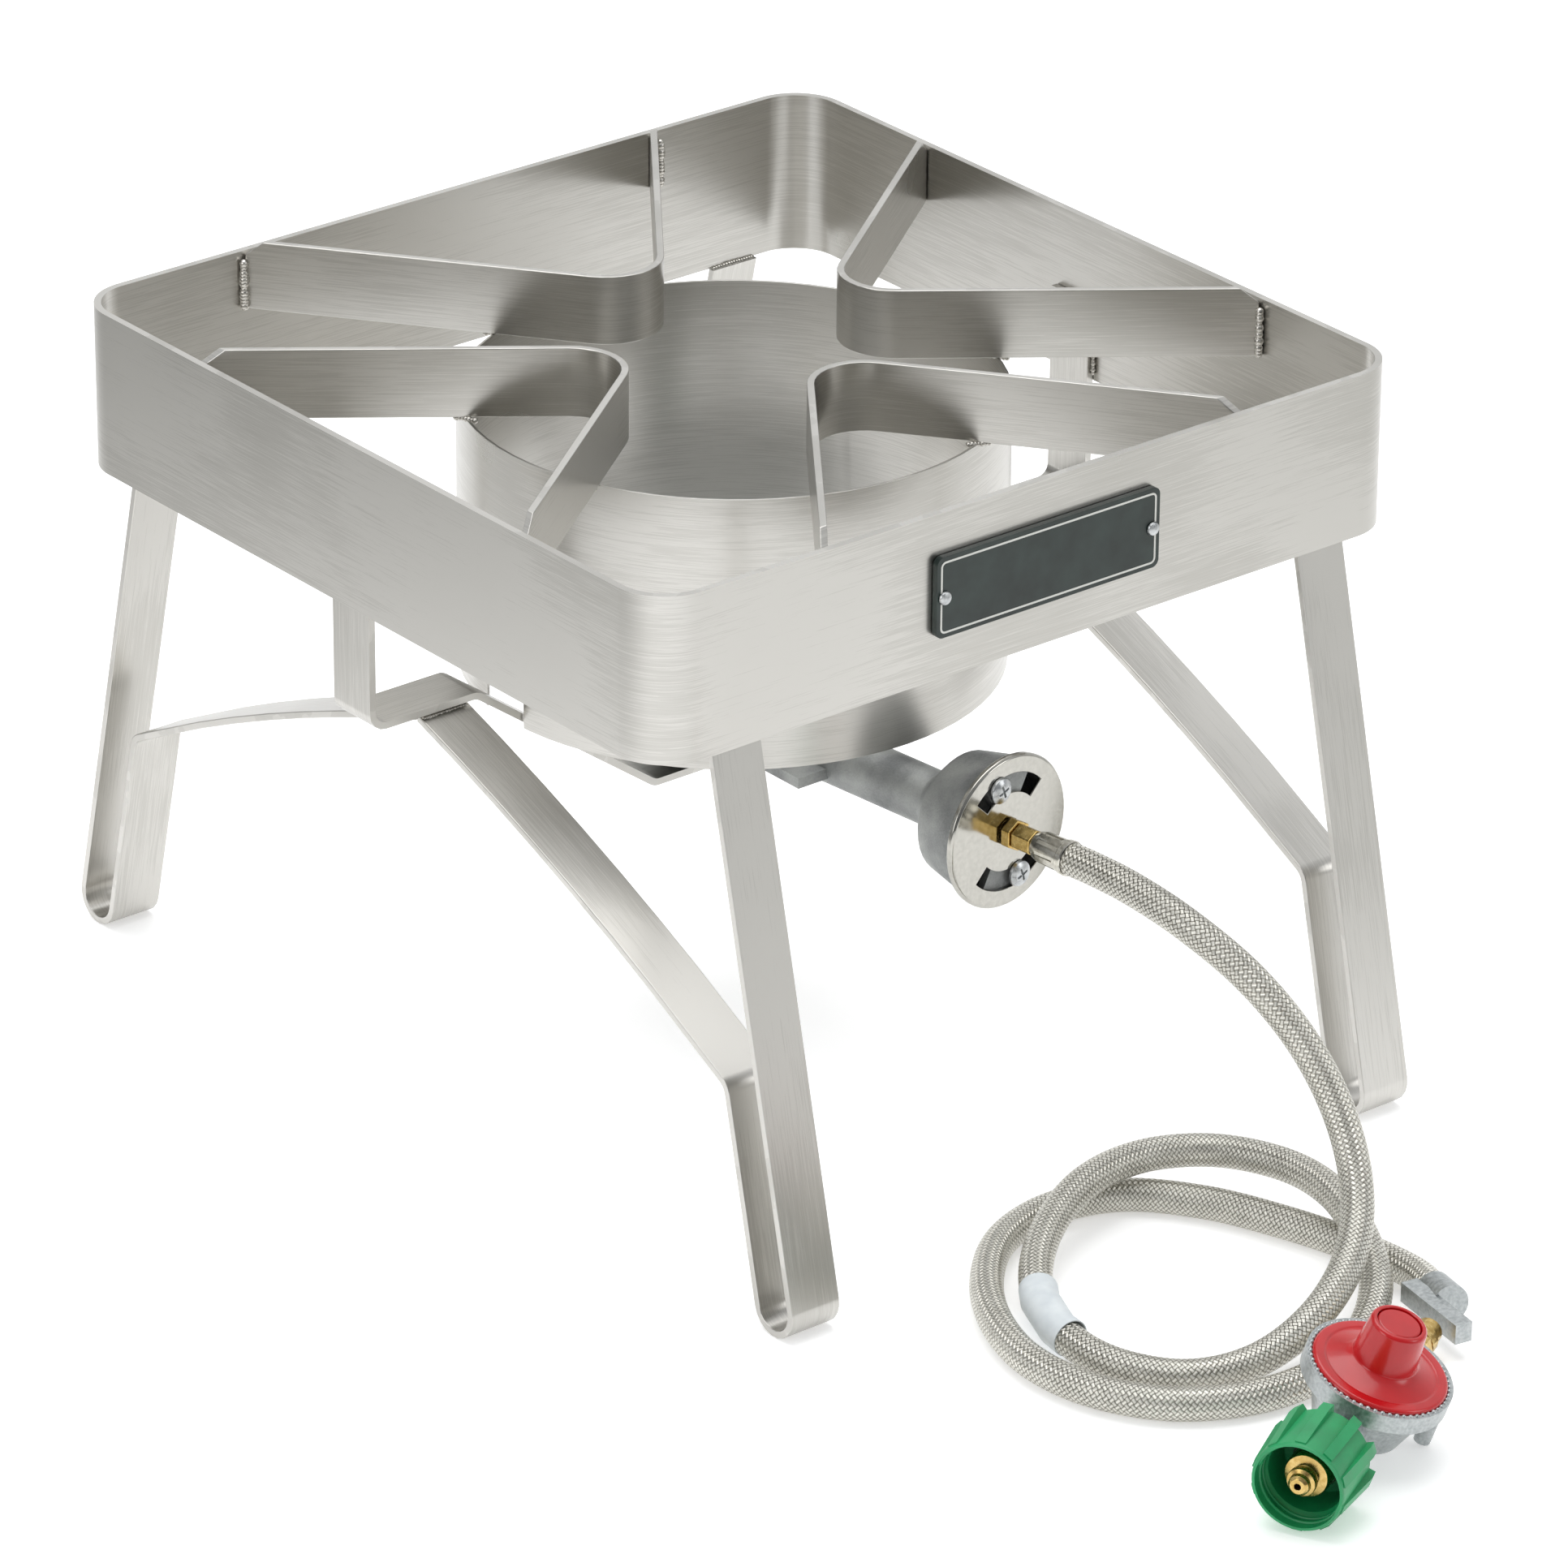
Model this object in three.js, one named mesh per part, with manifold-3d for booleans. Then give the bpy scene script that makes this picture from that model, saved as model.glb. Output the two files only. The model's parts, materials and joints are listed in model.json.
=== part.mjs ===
// Outdoor propane burner stand with its gas hose and regulator.
// Millimetres, +Z up. The origin is on the floor under the middle of the frame, the nameplate and
// the burner's air inlet face -Y, and the regulator lies on the floor in front.
import * as THREE from 'three';
import { mergeVertices } from 'three/addons/utils/BufferGeometryUtils.js';
import Module from 'manifold-3d';

const wasm = await Module();
wasm.setup();

// ---------------------------------------------------------------- driving dimensions
const GAP = 0.3;                 // clearance between touching pieces
const BAR_W = 25.4;              // flat bar width of legs and hanger strap
const BAR_T = 3.2;               // flat bar thickness

const FRAME = { side: 406.4, corner: 24.5, height: 75, bottom: 252 };
const FRAME_IN = FRAME.side / 2 - BAR_T;         // inner face of the square band
const FRAME_TOP = FRAME.bottom + FRAME.height;

const TAB = { top: 332, height: 31.75, mouth: 113, apex: 50, bend: 23.6, chamfer: 8 };
const SCREEN = { radius: 119.6, wall: 1.2, bottom: 175, top: TAB.top - TAB.height - GAP };
const STRAP = { y: 7.5, under: 195.5, flat: 125.6, run: 47, drop: 143, top: 290 };
const LEG = { x: 159.2, splay: 0.228, loop: 12.5, bend: 104, inner: 1, bow: 5 };
const NAMEPLATE = { x: 2, width: 121, height: 36.5, depth: 3, z: 290.2, pin: 56.5, corner: 3.5 };

const HOSE_R = 7.25;
const HOSE_STEPS = 56;
const LABEL = { step: 17, inset: 0.6, inner: 7.9, outer: 8.35, tail: 1.6, sheet: 0.9 };

const BURNER = { floor: STRAP.flat + BAR_T + GAP, radius: 52, rim: 168, axis: 146, turn: 5.8 };
const MIXER = { bore: 9.5, tube: 12.5, cup: 32.8, cupDepth: 27, face: 172.5, wall: 3.5, window: 61 };
const SHUTTER = { radius: 33.6, rim: 1.4, lip: 1.3, thick: 1.6, slot: 22.4, slotHalf: 4.4, arc: 46 };
const SHUTTER_SCREW = { lean: 16, shank: 1.9, head: 6 };

const SHUTTER_OUT = MIXER.face + GAP + SHUTTER.thick;     // outer face of the shutter, along the tube
const NUT_S = SHUTTER_OUT + 1.2;                           // brass fittings follow one another
const STEM_S = NUT_S + 5;
const FERRULE_S = STEM_S + 10.8;
const HOSE_S = FERRULE_S + 20;                            // where the hose leaves its ferrule

// the regulator's own frame: its origin is on the inlet axis under the bonnet, -X to the
// cylinder, +X to the hose, +Z up through the bonnet; it lies rolled over on the floor
const REG = { at: [-41, -462.8, 22.5], heading: 27, roll: 18.6, rim: 31.4, seat: 13, outlet: -12 };
const NECK = { radius: 9, end: -50 };
const NUT = { open: -78, back: -45.2, radius: 19.8, rib: 22.2, bore: 18.2, ribs: 10 };
const ELBOW = { at: [43, -413.5, 12.6], heading: -100, length: 42, width: 8, height: 9, socket: 17 };

// ---------------------------------------------------------------- materials
const finish = (color, roughness, metalness) =>
  new THREE.MeshStandardMaterial({ color, roughness, metalness });
const STEEL = finish(0xb9b6ad, 0.38, 0.9);
const CAST = finish(0x7d7f80, 0.75, 0.6);
const PLATED = finish(0xc8c4b8, 0.22, 0.95);
const BRASS = finish(0xb08d45, 0.3, 0.95);
const BRAID = finish(0xaaa898, 0.45, 0.8);
const ZINC = finish(0xb4b8bc, 0.42, 0.85);
const RED = finish(0xc41a20, 0.3, 0.0);
const GREEN = finish(0x1fa160, 0.45, 0.0);
const DARK = finish(0x26302b, 0.4, 0.1);
const PAPER = finish(0xe8ebee, 0.8, 0.0);

// ---------------------------------------------------------------- small tools
const deg = (a) => (a * Math.PI) / 180;
const stand = new THREE.Group();

function place(name, geometry, material, parent = stand) {
  const mesh = new THREE.Mesh(geometry, material);
  mesh.name = name;
  parent.add(mesh);
  return mesh;
}

function solid(geometry) {
  const bare = geometry.clone();
  bare.deleteAttribute('normal');
  bare.deleteAttribute('uv');
  const merged = mergeVertices(bare, 1e-4);
  return new wasm.Manifold(new wasm.Mesh({
    numProp: 3,
    vertProperties: new Float32Array(merged.attributes.position.array),
    triVerts: new Uint32Array(merged.index.array),
  }));
}

function geometryOf(manifold) {
  const mesh = manifold.getMesh();
  const geometry = new THREE.BufferGeometry();
  geometry.setAttribute('position', new THREE.BufferAttribute(mesh.vertProperties, 3));
  geometry.setIndex(new THREE.BufferAttribute(mesh.triVerts, 1));
  geometry.computeVertexNormals();
  return geometry;
}

const cut = (base, ...tools) =>
  geometryOf(tools.reduce((rest, tool) => rest.subtract(solid(tool)), solid(base)));
const join = (base, ...more) =>
  geometryOf(more.reduce((sum, piece) => sum.add(solid(piece)), solid(base)));

// a solid of revolution about +Z through [radius, z] points, closed onto the axis
function turned(profile, sides = 32) {
  const points = profile.map(([r, z]) => new THREE.Vector2(r, z));
  return new THREE.LatheGeometry(points, sides).rotateX(Math.PI / 2);
}

// a ring of revolution: the same, with its profile closed on itself
const ring = (profile, sides = 32) => turned([...profile, profile[0]], sides);

const rod = (radius, z0, z1, sides = 24) =>
  turned([[0, z0], [radius, z0], [radius, z1], [0, z1]], sides);
const tube = (inner, outer, z0, z1, sides = 32) =>
  ring([[inner, z0], [outer, z0], [outer, z1], [inner, z1]], sides);
const block = (x0, x1, y0, y1, z0, z1) =>
  new THREE.BoxGeometry(x1 - x0, y1 - y0, z1 - z0)
    .translate((x0 + x1) / 2, (y0 + y1) / 2, (z0 + z1) / 2);

// a hexagonal prism of a given width across flats, with an optional bore
function hexagon(flats, z0, z1, bore = 0) {
  const corner = flats / Math.sqrt(3);
  return bore ? cut(rod(corner, z0, z1, 6), rod(bore, z0 - 1, z1 + 1, 16)) : rod(corner, z0, z1, 6);
}

// the centre line of a bent bar: straight runs between corners, with an arc at each inner corner
function bentLine(corners, radius, steps = 5) {
  const line = [corners[0]];
  for (let i = 1; i < corners.length - 1; i++) {
    const at = corners[i];
    const back = corners[i - 1].clone().sub(at).normalize();
    const on = corners[i + 1].clone().sub(at).normalize();
    const half = Math.acos(THREE.MathUtils.clamp(back.dot(on), -1, 1)) / 2;
    const reach = radius / Math.tan(half);
    const centre = at.clone().add(back.clone().add(on).normalize().multiplyScalar(radius / Math.sin(half)));
    const from = at.clone().addScaledVector(back, reach).sub(centre);
    const to = at.clone().addScaledVector(on, reach).sub(centre);
    const turn = Math.atan2(from.x * to.y - from.y * to.x, from.dot(to));
    for (let k = 0; k <= steps; k++) {
      line.push(from.clone().rotateAround(new THREE.Vector2(), (turn * k) / steps).add(centre));
    }
  }
  line.push(corners[corners.length - 1]);
  return line;
}

// the outline of a bar of the given thickness along a centre line
function barShape(line, thickness) {
  const left = [];
  const right = [];
  line.forEach((point, i) => {
    const before = line[Math.max(i - 1, 0)];
    const after = line[Math.min(i + 1, line.length - 1)];
    const inward = point.clone().sub(before).normalize();
    const outward = after.clone().sub(point).normalize();
    const along = inward.clone().add(outward).normalize();
    const widen = Math.max(along.dot(i ? inward : outward), 0.5);
    const side = new THREE.Vector2(-along.y, along.x).multiplyScalar(thickness / 2 / widen);
    left.push(point.clone().add(side));
    right.push(point.clone().sub(side));
  });
  return new THREE.Shape([...left, ...right.reverse()]);
}

const extrude = (shape, depth, curveSegments = 8) =>
  new THREE.ExtrudeGeometry(shape, { depth, bevelEnabled: false, curveSegments });
const v2 = (x, y) => new THREE.Vector2(x, y);

function roundedBox(width, height, radius) {
  const shape = new THREE.Shape();
  [[1, 1], [-1, 1], [-1, -1], [1, -1]].forEach(([sx, sy], i) => {
    const start = deg(90 * i);
    shape.absarc(sx * (width / 2 - radius), sy * (height / 2 - radius), radius,
      start, start + Math.PI / 2, false);
  });
  return shape;
}

// ---------------------------------------------------------------- square top band
const bandShape = roundedBox(FRAME.side, FRAME.side, FRAME.corner);
bandShape.holes.push(roundedBox(2 * FRAME_IN, 2 * FRAME_IN, FRAME.corner - BAR_T));
const pinXs = [-1, 1].map((side) => NAMEPLATE.x + side * NAMEPLATE.pin);
const pinHole = (x) => rod(1.9, 190, 220, 12).rotateX(Math.PI / 2).translate(x, 0, NAMEPLATE.z);
place('top_band', cut(
  extrude(bandShape, FRAME.height, 12).translate(0, 0, FRAME.bottom), ...pinXs.map(pinHole),
), STEEL);

// ---------------------------------------------------------------- nameplate and its rivets
const plateShape = roundedBox(NAMEPLATE.width, NAMEPLATE.height, NAMEPLATE.corner);
const plateBack = FRAME.side / 2 + GAP;
const plate = extrude(plateShape, NAMEPLATE.depth).rotateX(Math.PI / 2)
  .translate(NAMEPLATE.x, -plateBack, NAMEPLATE.z);
place('nameplate', cut(plate, ...pinXs.map(pinHole)), DARK);

// a blind rivet: domed head outside, shank through plate and band, swelled tail inside
function rivet(x) {
  const head = plateBack + NAMEPLATE.depth + GAP;
  const tail = FRAME_IN - GAP;
  return turned([[0, tail - 3], [2.4, tail - 2.6], [2.9, tail], [1.6, tail], [1.6, head], [3.2, head],
    [2.8, head + 1.1], [1.2, head + 1.6], [0, head + 1.7]], 16)
    .rotateX(Math.PI / 2).translate(x, 0, NAMEPLATE.z);
}
place('nameplate_rivet_left', rivet(pinXs[0]), ZINC);
place('nameplate_rivet_right', rivet(pinXs[1]), ZINC);

// ---------------------------------------------------------------- pot support tabs
// each is one flat bar bent to a V, standing on edge, its ends welded inside the band
function potTab() {
  const end = FRAME_IN - GAP;
  const line = bentLine([v2(-TAB.mouth, end), v2(0, TAB.apex), v2(TAB.mouth, end)], TAB.bend, 10);
  const bar = extrude(barShape(line, BAR_T), TAB.height).translate(0, 0, TAB.top - TAB.height);
  const trim = block(-200, 200, end, end + 20, 200, 400);
  const wedge = new THREE.Shape([v2(end - TAB.chamfer, TAB.top + 1), v2(end + 9, TAB.top + 1),
    v2(end + 9, TAB.top - TAB.chamfer - 8), v2(end - TAB.chamfer, TAB.top + 0.5)]);
  const chamfer = extrude(wedge, 300).rotateX(Math.PI / 2).rotateZ(Math.PI / 2).translate(-150, 0, 0);
  return cut(bar, trim, chamfer);
}

const tabNames = ['pot_tab_back', 'pot_tab_left', 'pot_tab_front', 'pot_tab_right'];
tabNames.forEach((name, i) => {
  place(name, potTab(), STEEL).rotation.z = deg(90 * i);
});

// ---------------------------------------------------------------- windscreen
// a rolled sheet cylinder whose rim carries the tabs; notches let the hanger strap through
const notchHalf = BAR_W / 2 + 1;
const notch = block(-140, 140, STRAP.y - notchHalf, STRAP.y + notchHalf, SCREEN.bottom - 5, 187);
const screwHole = rod(2.4, 100, 140, 12).rotateX(-Math.PI / 2).rotateZ(deg(-62.7)).translate(0, 0, 235.8);
place('windscreen', cut(
  tube(SCREEN.radius - SCREEN.wall, SCREEN.radius, SCREEN.bottom, SCREEN.top, 72), notch, screwHole,
), STEEL);

// ---------------------------------------------------------------- hanger strap
// one bar from side to side: down from the band, in under the windscreen, down to the burner
function hangerStrap() {
  const wall = FRAME_IN - GAP - BAR_T / 2;
  const shelf = STRAP.under + BAR_T / 2;
  const low = STRAP.flat + BAR_T / 2;
  const half = [v2(wall, STRAP.top), v2(wall, shelf), v2(STRAP.drop, shelf), v2(STRAP.run, low)];
  const corners = [...half, ...half.map((p) => v2(-p.x, p.y)).reverse()];
  const bar = extrude(barShape(bentLine(corners, 7, 4), BAR_T), BAR_W)
    .rotateX(Math.PI / 2).translate(0, STRAP.y + BAR_W / 2, 0);
  return cut(bar, rod(4.4, 100, 150, 20).translate(0, STRAP.y, 0));
}
place('burner_hanger_strap', hangerStrap(), STEEL);

// ---------------------------------------------------------------- legs
// each leg is one bar in a plane across X: the outer strut, the U-bent foot, the inner riser,
// and a slightly bowed brace up to the underside of the hanger strap
function legLine() {
  const tilt = Math.atan(LEG.splay);
  const out = v2(Math.cos(tilt), Math.sin(tilt));       // across the strut, away from the middle
  const down = v2(Math.sin(tilt), -Math.cos(tilt));
  const strut = LEG.loop - BAR_T / 2;                   // centre-line radius of the foot
  const top = v2(FRAME_IN - BAR_T / 4, FRAME.bottom + 1);
  const fall = top.y - LEG.loop - strut * Math.sin(tilt);
  const footOuter = top.clone().add(v2(LEG.splay * fall, -fall));
  const centre = footOuter.clone().addScaledVector(out, -strut);
  const line = [top];
  for (let k = 0; k <= 10; k++) {
    const a = tilt - (Math.PI * k) / 10;
    line.push(centre.clone().add(v2(Math.cos(a), Math.sin(a)).multiplyScalar(strut)));
  }
  const heel = centre.clone().addScaledVector(out, -strut);
  const knee = heel.clone().addScaledVector(down, -(LEG.bend - heel.y) / Math.cos(tilt));
  const tip = v2(LEG.inner, STRAP.under - GAP - 2.1);
  const rise = tip.clone().sub(knee);
  const normal = v2(-rise.y, rise.x).normalize();
  const brace = (t) => knee.clone().addScaledVector(rise, t)
    .addScaledVector(normal, -4 * LEG.bow * t * (1 - t));
  const kneeLine = bentLine([heel, knee, brace(0.12)], 8, 3);
  line.push(...kneeLine.slice(1, -1));
  for (let k = 2; k <= 8; k++) line.push(brace(k / 8));
  return line;
}

function leg() {
  const bar = extrude(barShape(legLine(), BAR_T), BAR_W)
    .rotateX(Math.PI / 2).rotateZ(Math.PI / 2).translate(-BAR_W / 2, 0, 0);
  return cut(bar, block(-20, 20, 180, 220, FRAME.bottom - GAP, FRAME.bottom + 10));
}

for (const [end, ySign] of [['front', -1], ['back', 1]]) {
  for (const [side, xSign] of [['left', -1], ['right', 1]]) {
    const geometry = leg();
    const mesh = place(`leg_${end}_${side}`, geometry, STEEL);
    mesh.position.x = xSign * LEG.x;
    mesh.rotation.z = ySign < 0 ? Math.PI : 0;
  }
}

// ---------------------------------------------------------------- burner
// everything on the mixer tube's axis is drawn along +Z in the "along" group, which lays +Z
// over to -Y, turned a little to +X
const burner = new THREE.Group();
burner.position.set(0, STRAP.y, 0);
stand.add(burner);
const along = new THREE.Group();
along.position.set(0, 0, BURNER.axis);
along.rotation.set(Math.PI / 2, 0, deg(BURNER.turn), 'ZYX');
burner.add(along);
const layDown = (geometry) => geometry.rotateX(Math.PI / 2).rotateZ(deg(BURNER.turn))
  .translate(0, 0, BURNER.axis);

function burnerCasting() {
  const { floor, radius, rim } = BURNER;
  const bowl = turned([[0, floor], [20, floor], [38, floor + 6], [radius, 150], [radius, rim], [0, rim]], 40);
  const hollow = turned([[0, floor + 5], [18, floor + 5], [35, floor + 11], [radius - 4, 151],
    [radius - 4, rim + 1], [0, rim + 1]], 40);
  const { tube: pipe, cup, cupDepth, face, wall, bore } = MIXER;
  const mixer = layDown(turned([[0, 20], [pipe, 20], [pipe, face - cupDepth - 14],
    [pipe + 5, face - cupDepth - 6], [cup - 8, face - cupDepth - 1], [cup - 5, face - cupDepth + 2],
    [cup, face - 2], [cup, face], [0, face]], 40));
  const throat = layDown(turned([[0, 30], [bore, 30], [bore, face - cupDepth - 5],
    [cup - 8.5, face - cupDepth + 5], [cup - wall - 1, face - wall], [0, face - wall]], 30));
  const lug = block(-20, 20, -78, -40, BURNER.axis - 5, BURNER.axis);
  const post = rod(9, floor, rim, 20);
  const windows = [0, 180].map((side) => {
    const fan = new THREE.Shape();
    const reach = deg(MIXER.window);
    fan.absarc(0, 0, cup - 5, -reach, reach, false);
    fan.absarc(0, 0, 10.5, reach, -reach, true);
    return layDown(extrude(fan, 20).rotateZ(deg(side)).translate(0, 0, face - 10));
  });
  const screwHoles = [1, -1].map((s) => layDown(rod(2.2, face - 10, face + 1, 12)
    .translate(...shutterScrewAt(s))));
  const outer = solid(bowl).add(solid(mixer)).add(solid(lug));
  const inner = solid(hollow).add(solid(throat));
  const body = outer.subtract(inner).add(solid(post)).subtract(solid(rod(4.4, floor - 1, rim + 1, 16)));
  const spudHole = layDown(rod(5.3, face - 10, face + 1, 20));
  return geometryOf([...windows, ...screwHoles, spudHole]
    .reduce((rest, tool) => rest.subtract(solid(tool)), body));
}

// the two shutter screws stand on the casting's lands, one above and one below the orifice
function shutterScrewAt(side) {
  const lean = deg(90 + SHUTTER_SCREW.lean);
  return [side * SHUTTER.slot * Math.cos(lean), side * SHUTTER.slot * Math.sin(lean), 0];
}

place('burner_casting', burnerCasting(), CAST, burner);

function burnerCap() {
  const { radius, rim } = BURNER;
  const base = rim + GAP;
  const dome = turned([[0, base], [radius, base], [radius, base + 5], [radius - 6, base + 10],
    [16, base + 14], [0, base + 14]], 40);
  const hollow = turned([[0, base - 1], [radius - 8, base - 1], [radius - 9, base + 4],
    [14, base + 9], [0, base + 9]], 32);
  const ports = [];
  for (const [count, r] of [[16, 38], [10, 25]]) {
    for (let k = 0; k < count; k++) {
      const a = (2 * Math.PI * k) / count;
      ports.push(rod(2, base + 2, base + 20, 8).translate(r * Math.cos(a), r * Math.sin(a), 0));
    }
  }
  const hub = rod(9, base, base + 12, 20);
  const shell = solid(dome).subtract(solid(hollow)).add(solid(hub));
  return geometryOf([...ports, rod(4.4, base - 1, base + 20, 16)]
    .reduce((rest, tool) => rest.subtract(solid(tool)), shell));
}
place('burner_cap', burnerCap(), CAST, burner);

const capTop = BURNER.rim + GAP + 14;
const washerFoot = STRAP.flat - GAP - 1.6;
place('burner_bolt', turned([[0, STRAP.flat - 12], [4, STRAP.flat - 12], [4, capTop + GAP],
  [10, capTop + GAP], [8.5, capTop + 4], [4, capTop + 6], [0, capTop + 6.4]], 24), STEEL, burner);
place('burner_washer', tube(4.3, 9, washerFoot, STRAP.flat - GAP, 24), STEEL, burner);
place('burner_nut', hexagon(13, washerFoot - GAP - 6.8, washerFoot - GAP, 4.3), STEEL, burner);

// ---------------------------------------------------------------- air shutter
function slotShape() {
  const { slot, slotHalf, arc } = SHUTTER;
  const shape = new THREE.Shape();
  shape.absarc(0, 0, slot + slotHalf, deg(90 - arc), deg(90 + arc), false);
  shape.absarc(0, 0, slot - slotHalf, deg(90 + arc), deg(90 - arc), true);
  return shape;
}

function airShutter() {
  const { radius, rim, lip, thick } = SHUTTER;                 // the rim laps back over the cup
  const z0 = MIXER.face + GAP;
  const disc = turned([[0, z0], [radius, z0], [radius, z0 - lip], [radius + rim, z0 - lip],
    [radius + rim, z0 + thick - 1], [radius + rim - 1, z0 + thick], [0, z0 + thick]], 64);
  const slots = [0, 180].map((side) => extrude(slotShape(), 10)
    .rotateZ(deg(side)).translate(0, 0, z0 - 4));
  return cut(disc, ...slots, rod(6, z0 - 2, z0 + 8, 20));
}
place('air_shutter', airShutter(), PLATED, along);

function shutterScrew(side) {
  const seat = SHUTTER_OUT + GAP;
  const { shank, head } = SHUTTER_SCREW;
  const screw = turned([[0, MIXER.face - 8], [shank, MIXER.face - 8], [shank, seat], [head, seat],
    [head - 0.3, seat + 1.4], [head - 2, seat + 2.5], [0, seat + 2.8]], 24);
  const recess = [0, 90].map((turn) => block(-3, 3, -0.5, 0.5, seat + 1.4, seat + 4)
    .rotateZ(deg(turn)));
  const [x, y] = shutterScrewAt(side);
  return cut(screw, ...recess).rotateZ(deg(20)).translate(x, y, 0);
}
place('shutter_screw_top', shutterScrew(1), ZINC, along);
place('shutter_screw_bottom', shutterScrew(-1), ZINC, along);

// ---------------------------------------------------------------- brass fittings at the burner
place('orifice_spud', cut(
  turned([[0, MIXER.face - 16], [2.6, MIXER.face - 14], [4.9, MIXER.face - 10],
    [4.9, NUT_S - GAP], [0, NUT_S - GAP]], 24),
  rod(1.2, MIXER.face - 20, NUT_S + 1, 10),
), BRASS, along);
place('hose_swivel_nut', hexagon(12.4, NUT_S, STEM_S - GAP, 2.2), BRASS, along);
place('hose_stem', hexagon(10.6, STEM_S, FERRULE_S - GAP, 2.2), BRASS, along);

// a crimped sleeve: eight shallow flutes between a plain collar and a rolled end rim
function ferrule() {
  const end = HOSE_S - GAP;
  const sleeve = turned([[0, FERRULE_S], [5.4, FERRULE_S], [6.1, FERRULE_S + 1.2], [6.9, FERRULE_S + 4],
    [7.4, end - 3.4], [7.9, end - 2.8], [7.9, end - 0.5], [7.4, end], [0, end]], 32);
  const flutes = [];
  for (let k = 0; k < 8; k++) {
    flutes.push(block(6.6, 9, -0.9, 0.9, FERRULE_S + 4, end - 5).rotateZ((Math.PI * k) / 4));
  }
  return cut(sleeve, ...flutes);
}
place('hose_ferrule_burner', ferrule(), PLATED, along);

// ---------------------------------------------------------------- hose
// the burner's ferrule sets the exit; from there the hose droops, lies in two loose turns on the
// floor, crosses over its own last stretch twice, and ends in the regulator's crimp sleeve
stand.updateMatrixWorld(true);
const exit = new THREE.Vector3(0, 0, HOSE_S).applyMatrix4(along.matrixWorld);
const heading = new THREE.Vector3(0, 0, 1).transformDirection(along.matrixWorld);
const HOSE_ROUTE = [
  [24.5, -237, 145], [29, -268, 138.5], [40, -297, 121], [50, -321, 96], [53, -342, 68],
  [45, -361, 45], [24, -380, 29], [-9, -394, 18], [-41, -395, 10], [-68, -384, 7.5],
  [-86, -357, 8.2], [-86, -324, 9.4], [-71, -292, 11.5], [-44, -267, 17], [-10, -252, 22.5],
  [24, -250, 23], [53, -264, 22], [67, -293, 22.5], [64, -326, 24], [54, -354, 21],
  [38, -382, 13], [9, -404, 8], [-24, -416, 7.5], [-58, -414, 7.5], [-88, -397, 7.5],
  [-106, -368, 7.5], [-110, -335, 7.5], [-100, -301, 7.5], [-80, -271, 7.5], [-52, -248, 7.5],
  [-19, -240, 7.5], [13, -249, 7.5], [36, -275, 7.5], [51, -309, 7.5], [61, -345, 7.5],
  [63, -379, 8.5], [57.5, -396, 10.5],
].map((p) => new THREE.Vector3(...p));
const hoseCurve = new THREE.CatmullRomCurve3(
  [exit, exit.clone().addScaledVector(heading, 12), ...HOSE_ROUTE], false, 'centripetal');
hoseCurve.arcLengthDivisions = 1200;

const hoseSection = new THREE.Shape();
for (let k = 0; k < 10; k++) {
  const a = (2 * Math.PI * k) / 10;
  if (k) hoseSection.lineTo(HOSE_R * Math.cos(a), HOSE_R * Math.sin(a));
  else hoseSection.moveTo(HOSE_R, 0);
}
place('gas_hose', new THREE.ExtrudeGeometry(hoseSection, {
  steps: HOSE_STEPS, extrudePath: hoseCurve,
}), BRAID);

// a paper label wrapped round the first turn, its free end flat on the floor; it has no lettering
const labelLine = [0, 1, 2, 3].map((k) => hoseCurve.getPointAt((LABEL.step + k) / HOSE_STEPS));
labelLine[0].lerp(labelLine[1], LABEL.inset);
labelLine[3].lerp(labelLine[2], LABEL.inset);
const labelPath = new THREE.CurvePath();
labelLine.slice(1).forEach((end, i) => labelPath.add(new THREE.LineCurve3(labelLine[i], end)));
const labelSection = new THREE.Shape().absarc(0, 0, LABEL.outer, 0, 2 * Math.PI, false);
labelSection.holes.push(new THREE.Path().absarc(0, 0, LABEL.inner, 0, 2 * Math.PI, true));
const labelTail = extrude(new THREE.Shape([v2(-78, -303), v2(-82, -322), v2(-79, -336),
  v2(-72.5, -336), v2(-67, -309)]), LABEL.sheet).translate(0, 0, LABEL.tail);
place('hose_label', join(new THREE.ExtrudeGeometry(labelSection, {
  steps: 9, curveSegments: 20, extrudePath: labelPath,
}), labelTail), PAPER);

// ---------------------------------------------------------------- fitting at the regulator end
// a cast elbow block: the hose is crimped into the round socket on its back
const hoseEnd = HOSE_ROUTE[HOSE_ROUTE.length - 1];
const endWay = hoseCurve.getTangentAt(1);
const socket = rod(HOSE_R + 1, 0, ELBOW.socket, 24)
  .applyQuaternion(new THREE.Quaternion().setFromUnitVectors(new THREE.Vector3(0, 0, 1), endWay))
  .translate(hoseEnd.x + endWay.x * GAP, hoseEnd.y + endWay.y * GAP, hoseEnd.z + endWay.z * GAP);
const elbowBar = block(-ELBOW.length / 2, ELBOW.length / 2, -ELBOW.width / 2, ELBOW.width / 2,
  -ELBOW.height / 2, ELBOW.height / 2).rotateZ(deg(ELBOW.heading)).translate(...ELBOW.at);
place('hose_elbow_block', join(elbowBar, socket), ZINC);

// ---------------------------------------------------------------- regulator
const regulator = new THREE.Group();
regulator.position.set(...REG.at);
regulator.rotation.set(deg(REG.roll), 0, deg(REG.heading), 'ZYX');
stand.add(regulator);
const alongX = (geometry) => geometry.rotateY(Math.PI / 2);

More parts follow.
